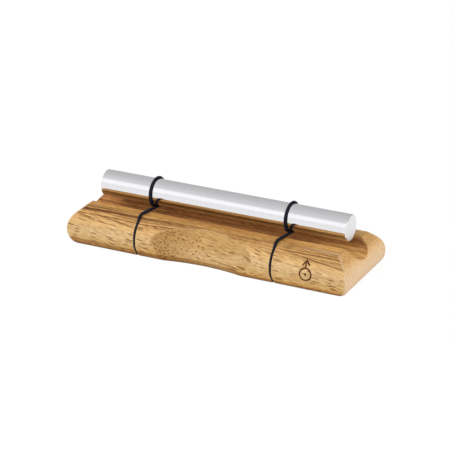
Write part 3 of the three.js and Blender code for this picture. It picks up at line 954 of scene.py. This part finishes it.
def cord_stretches(aside):
    """The cord's middle line by stretch, in order round its ring, with X counted from its kerf.

    The wrap is a helix about the rod that lies aside of the kerf and shifts as it climbs.
    """
    share = np.linspace(0, 1, WRAP_POINTS)
    angle = leave_angle - share * wrap_turn
    wrap = np.stack(
        [
            aside + wrap_shift * (2 * smooth_step(WRAP_CLIMB_START, 1, share) - 1),
            wrap_radius * np.sin(angle),
            rod_axis_height - wrap_radius * np.cos(angle),
        ],
        axis=-1,
    )
    rear = land_route(1, aside)
    front = land_route(-1, aside)[::-1]
    under = [
        [0, -kerf_cord_out, split_height],
        [0, -kerf_cord_out, kerf_cord_inset],
        [0, kerf_cord_out, kerf_cord_inset],
        [0, kerf_cord_out, split_height],
    ]
    kerf_run = evenly(bent_route(under, [KERF_CORNER, KERF_CORNER]), CORD_STEP)
    kerf_run[:, 0] = foot_drift(kerf_run[:, 1], kerf_run[:, 2])
    return {
        "kerf_run": kerf_run,
        "rear_stretch": rear,
        "rear_span": np.stack([rear[-1], wrap[0]]),
        "wrap": wrap,
        "front_span": np.stack([wrap[-1], front[0]]),
        "front_stretch": front,
    }


def twisted_tube(points, lay_angle, squeeze, taut):
    """Rings of a three-strand outline carried along the points, turned, squeezed and pulled thin.

    The outline is the outer edge of three round strands in a ring: d cos a + sqrt(r^2 - d^2 sin^2 a)
    over a third of a turn each, with the gaps between them filled to a core.
    """
    strand = CORD_RADIUS / (1 + 2 / math.sqrt(3))
    offset = CORD_RADIUS - strand
    around = np.linspace(0, 2 * math.pi, CORD_SIDES, endpoint=False)
    third = 2 * math.pi / 3
    turned = np.mod(around + lay_angle[:, None], third) - third / 2
    bulge = np.sqrt(np.maximum(strand**2 - (offset * np.sin(turned)) ** 2, 0))
    thinned = 1 + taut[:, None] * (TAUT_RADIUS / CORD_RADIUS - 1)
    radius = thinned * np.maximum(offset * np.cos(turned) + bulge, CORD_CORE * CORD_RADIUS)
    tangent = np.gradient(points, axis=0)
    tangent /= np.linalg.norm(tangent, axis=1, keepdims=True)
    width_way = np.array([1.0, 0, 0]) - tangent[:, :1] * tangent
    width_way /= np.linalg.norm(width_way, axis=1, keepdims=True)
    depth_way = np.cross(tangent, width_way)
    width = 1 + squeeze * (SQUEEZED_WIDTH / (2 * CORD_RADIUS) - 1)
    depth = 1 + squeeze * (SQUEEZED_DEPTH / (2 * CORD_RADIUS) - 1)
    across = (width[:, None] * radius * np.cos(around))[..., None] * width_way[:, None]
    inward = (depth[:, None] * radius * np.sin(around))[..., None] * depth_way[:, None]
    return points[:, None] + across + inward


def cord_ring(side, place, wrap_place):
    """One cord: its stretches share one lay, which closes round the ring, and each is a piece."""
    routes = cord_stretches(wrap_place - place)
    stretches = {name: evenly(route, CORD_STEP) for name, route in routes.items()}
    route = np.concatenate([points[:-1] for points in stretches.values()])
    route = np.concatenate([route, route[:1]])
    steps = np.linalg.norm(np.diff(route, axis=0), axis=1)
    length = np.concatenate([[0], np.cumsum(steps)])
    turns = round(length[-1] / CORD_LAY)
    lay_angle = 2 * math.pi * turns * length / length[-1]
    out, height = np.abs(route[:, 1]), route[:, 2]
    buried = np.minimum(half_width - side_inset(height) - out, base_height - height)
    squeeze = smooth_step(SQUEEZE_FROM, SQUEEZE_FULL, buried)
    taut = (1 - smooth_step(leave_out, lip_out, out)) * (1 - squeeze)
    rings = twisted_tube(route, lay_angle, squeeze, taut) + [place, 0, 0]
    first = 0
    for name, points in stretches.items():
        last = first + len(points)
        node = f"{side}_cord_{name}"
        piece = put_mesh(f"{node}_twisted", rings[first:last], black_cord)
        first = last - 1
        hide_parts(node)
        if name.endswith("span"):
            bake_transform(piece)
        else:
            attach(piece, "slings" if name == "wrap" else "base")


for side, place, wrap_place in zip(SIDES, kerf_places, cord_places + WRAP_ASIDE):
    cord_ring(side, place, wrap_place)


# Camera, as fitted to the photograph

CAMERA_PLACE = np.array([405.10, -806.02, 383.82])
CAMERA_AZIMUTH = math.radians(26.62)
CAMERA_ELEVATION = math.radians(22.30)
CAMERA_ROLL = math.radians(0.17)
CAMERA_LENS = 162.28

camera = bpy.data.objects.new("camera", bpy.data.cameras.new("camera"))
camera.data.lens = CAMERA_LENS
camera.location = CAMERA_PLACE * MM
level = Euler((math.pi / 2 - CAMERA_ELEVATION, 0, CAMERA_AZIMUTH)).to_matrix()
camera.rotation_euler = (level @ Matrix.Rotation(CAMERA_ROLL, 3, "Z")).to_euler()
bpy.context.scene.collection.objects.link(camera)
bpy.context.scene.camera = camera


# Floor, world and lamps

FLOOR_REACH = 3.0  # metres
FLOOR_DROP = 0.02 * MM
FLOOR_GLOW = 1.12
FLOOR_OWN_WHITE = 0.85  # share of that glow in what the eye sees, beside the light that falls on it
ROOM_GREEN = 0.985  # the room's light has a little less green than red and blue
ROOM_TURN = 0.2  # how softly its front turns into its back
MATT_SHARE = 0.82  # share of the room's light that reaches matt surfaces

# The room's brightness by the sine of the height, in front and at the back
FRONT_LIGHT = [
    (0, 0.97), (0.17, 1.03), (0.3, 1.18), (0.44, 1.24), (0.56, 1.19), (0.68, 1.11), (0.72, 0.86),
    (0.82, 0.8), (1, 0.7),
]
BACK_LIGHT = [(0, 0.55), (0.34, 0.56), (0.75, 0.63), (1, 0.7)]


def seen_rays(tree):
    """1 for camera, mirror and glass rays, which see the floor's own white."""
    rays = add(tree, "LightPath")
    seen = add(tree, "Math", {0: rays["Is Camera Ray"], 1: rays["Is Glossy Ray"]}, operation="MAXIMUM")[0]
    return add(tree, "Math", {0: seen, 1: rays["Is Transmission Ray"]}, operation="MAXIMUM")[0]


def white_floor():
    """White paper that keeps a faint shadow: mostly its own white to the eye, matt white to light."""
    material, tree, shader = new_material("white_paper")
    shader.inputs["Base Color"].default_value = linear("b4b4b4")
    shader.inputs["Roughness"].default_value = 1
    shader.inputs["Specular IOR Level"].default_value = 0
    white = add(tree, "Emission", {"Strength": FLOOR_GLOW})[0]
    share = add(tree, "Math", {0: seen_rays(tree), 1: FLOOR_OWN_WHITE}, operation="MULTIPLY")[0]
    mixed = add(tree, "MixShader", {0: share, 1: shader.outputs[0], 2: white})[0]
    tree.links.new(mixed, tree.nodes["Material Output"].inputs["Surface"])
    mesh = bpy.data.meshes.new("floor")
    signs = [(-1, -1), (1, -1), (1, 1), (-1, 1)]
    corners = [(x * FLOOR_REACH, y * FLOOR_REACH, -FLOOR_DROP) for x, y in signs]
    mesh.from_pydata(corners, [], [(0, 1, 2, 3)])
    mesh.materials.append(material)
    floor = bpy.data.objects.new("floor", mesh)
    bpy.context.scene.collection.objects.link(floor)


white_floor()


def studio_world():
    """A pale room with a broad softbox over the camera, up to 44 degrees high, and a greyer ceiling."""
    world = bpy.data.worlds.new("studio")
    bpy.context.scene.world = world
    world.use_nodes = True
    tree = world.node_tree
    way = add(tree, "TexCoord")["Generated"]
    parts = add(tree, "SeparateXYZ", {0: way})
    front = add(tree, "ValToRGB", {0: parts[2]}, stops=grey_stops(FRONT_LIGHT, green=ROOM_GREEN))[0]
    back = add(tree, "ValToRGB", {0: parts[2]}, stops=grey_stops(BACK_LIGHT, green=ROOM_GREEN))[0]
    behind = add(
        tree,
        "MapRange",
        {"Value": parts[1], "From Min": -ROOM_TURN, "From Max": ROOM_TURN},
        interpolation_type="SMOOTHSTEP",
    )[0]
    room = add(tree, "Mix", {0: behind, MIX_A: front, MIX_B: back}, data_type="RGBA")[MIX_OUT]
    rays = add(tree, "LightPath")
    shown = add(
        tree, "Mix", {0: rays["Is Camera Ray"], MIX_A: room, MIX_B: (1, 1, 1, 1)}, data_type="RGBA"
    )[MIX_OUT]
    strength = add(
        tree, "Math", {0: rays["Is Diffuse Ray"], 1: MATT_SHARE - 1, 2: 1}, operation="MULTIPLY_ADD"
    )[0]
    tree.links.new(shown, tree.nodes["Background"].inputs["Color"])
    tree.links.new(strength, tree.nodes["Background"].inputs["Strength"])


studio_world()


def softbox(name, azimuth, elevation, size, watts):
    """A square lamp a metre from the chime, turned to it. Mirrors show the world's softbox instead."""
    lamp = bpy.data.lights.new(name, "AREA")
    lamp.size = size
    lamp.energy = watts
    box = bpy.data.objects.new(name, lamp)
    turn, climb = math.radians(azimuth), math.radians(elevation)
    aside, ahead = math.sin(turn) * math.cos(climb), -math.cos(turn) * math.cos(climb)
    box.location = (aside, ahead, math.sin(climb))
    box.rotation_euler = (-box.location).to_track_quat("-Z", "Y").to_euler()
    box.visible_glossy = False
    bpy.context.scene.collection.objects.link(box)


softbox("key", azimuth=-40, elevation=39, size=0.5, watts=4.2)
softbox("fill", azimuth=80, elevation=20, size=0.5, watts=3.0)

bpy.context.scene.view_settings.view_transform = "Standard"
